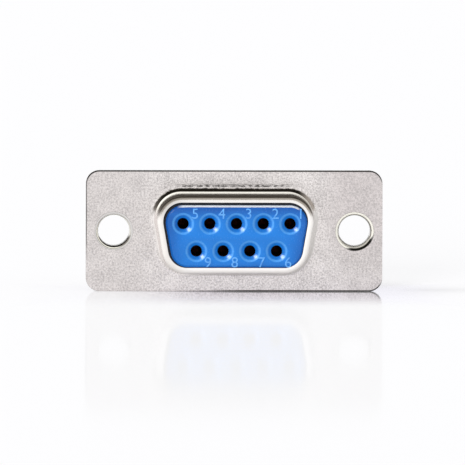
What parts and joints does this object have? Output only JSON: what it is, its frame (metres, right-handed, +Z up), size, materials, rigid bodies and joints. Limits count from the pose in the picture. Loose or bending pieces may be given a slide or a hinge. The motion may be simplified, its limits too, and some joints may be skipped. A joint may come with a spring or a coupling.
{
  "type": "d-sub connector",
  "caption": "Straight D-shaped panel socket connector: flanged metal shroud round a blue insulator with round contact sockets, eyelet screw holes and rear solder cups.",
  "frame": {"origin": "centre of the flange's front face, midway between the two screw holes", "axes": "+X to the right as seen by someone who looks into the sockets, +Z up with the wide row of five on top, and the mating direction is -Y"},
  "size_m": [0.0308, 0.0171, 0.0126],
  "materials": {
    "shell": "tin-plated stamped steel, satin",
    "insulator": "blue glass-filled moulding, semi-gloss",
    "eyelet": "tin-plated tube, rolled",
    "contact": "copper alloy with a thin gold flash"
  },
  "bodies": {
    "root": {"front_shell": "shell", "rear_shell": "shell", "front_insulator": "insulator", "rear_insulator": "insulator", "left_eyelet": "eyelet", "right_eyelet": "eyelet", "socket_contact_1": "contact", "socket_contact_2": "contact", "socket_contact_3": "contact", "socket_contact_4": "contact", "socket_contact_5": "contact", "socket_contact_6": "contact", "socket_contact_7": "contact", "socket_contact_8": "contact", "socket_contact_9": "contact"}
  },
  "joints": []
}
